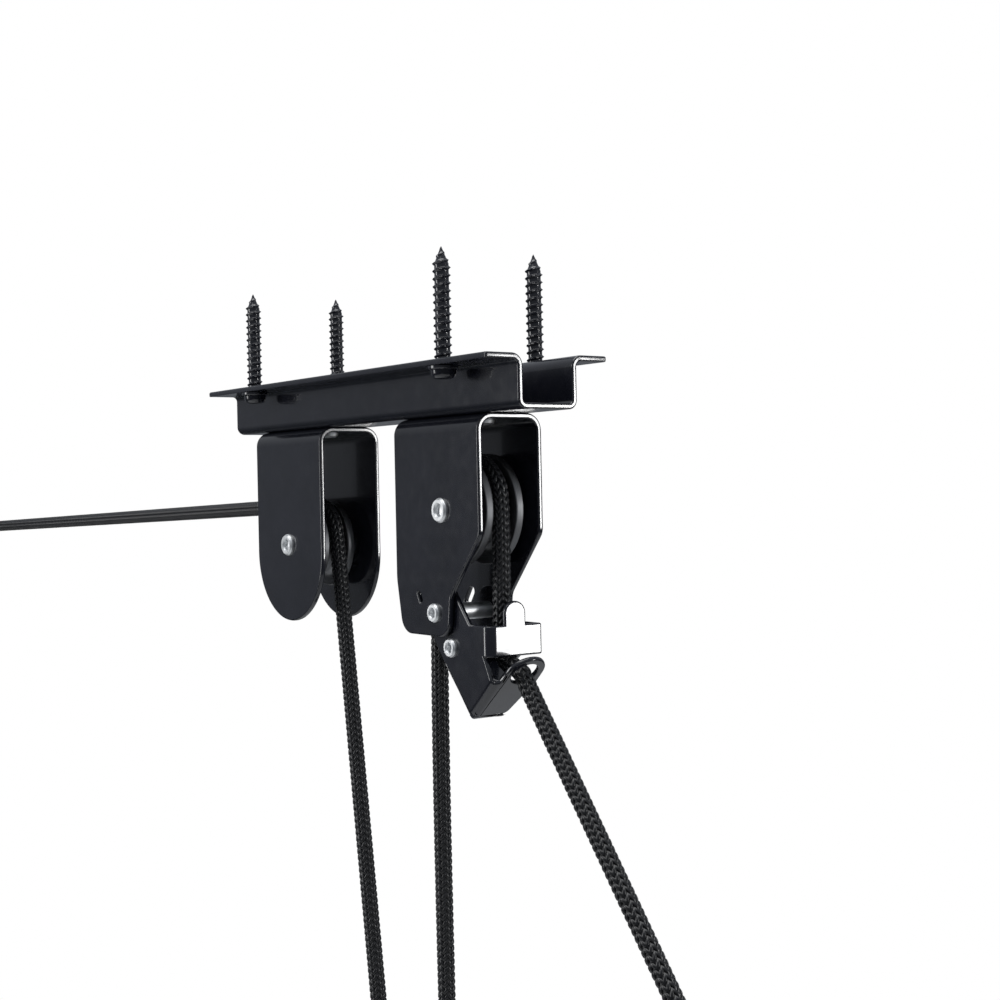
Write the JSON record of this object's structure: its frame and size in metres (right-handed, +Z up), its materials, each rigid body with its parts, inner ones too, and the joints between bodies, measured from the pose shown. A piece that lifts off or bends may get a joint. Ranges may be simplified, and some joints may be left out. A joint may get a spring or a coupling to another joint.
{
  "type": "ceiling pulley rack",
  "caption": "Ceiling rail with two inverted-U brackets, each holding a grooved rope sheave; the larger one has a swinging lever that locks the hauling rope.",
  "frame": {"origin": "centre of the four lag screws, on the face of the joist that the rail is screwed to", "axes": "+X along the rail towards the lock bracket, +Y across the rail, +Z up into the joist"},
  "size_m": [0.7018, 0.0494, 0.3109],
  "materials": {
    "black_powder_coat": "gloss",
    "zinc_plate": "bright",
    "galvanised_sheave": "satin",
    "oil_bronze": "satin",
    "black_braided_rope": "matt"
  },
  "bodies": {
    "rack": {"mounting_rail": "black_powder_coat", "rail_lag_screws": "black_powder_coat", "small_bracket": "black_powder_coat", "small_bracket_rivets": "zinc_plate", "small_axle_rivet": "zinc_plate", "small_axle_spacers": "zinc_plate", "lock_bracket": "black_powder_coat", "lock_bracket_rivets": "zinc_plate", "lock_axle_rivet": "zinc_plate", "lock_axle_spacers": "zinc_plate", "lever_pivot_rivet": "zinc_plate", "travel_rope": "black_braided_rope", "travel_far_knot": "black_braided_rope", "travel_fall_knot": "black_braided_rope", "load_rope": "black_braided_rope", "load_knot": "black_braided_rope", "hand_rope_span": "black_braided_rope"},
    "small_sheave": {"small_sheave": "galvanised_sheave", "small_sheave_bush": "oil_bronze"},
    "lock_sheave": {"lock_sheave": "galvanised_sheave", "lock_sheave_bush": "oil_bronze"},
    "lock_lever": {"lock_lever": "black_powder_coat", "lever_pivot_sleeve": "zinc_plate", "lever_cross_rivet": "zinc_plate", "lever_cross_sleeve": "zinc_plate", "hand_rope_tail": "black_braided_rope", "hand_knot": "black_braided_rope"}
  },
  "joints": [
    {"name": "small_sheave_spin", "type": "hinge", "parent": "rack", "child": "small_sheave", "pos_m": [-0.0546, 0, -0.0642], "axis": [0, 1, 0], "continuous": true},
    {"name": "lock_sheave_spin", "type": "hinge", "parent": "rack", "child": "lock_sheave", "pos_m": [0.0577, 0, -0.0506], "axis": [0, 1, 0], "continuous": true},
    {"name": "lock_lever_swing", "type": "hinge", "parent": "rack", "child": "lock_lever", "pos_m": [0.0527, 0, -0.0862], "axis": [0, -1, 0], "range_deg": [-35, 38], "deforming": ["hand_rope_span"]}
  ]
}
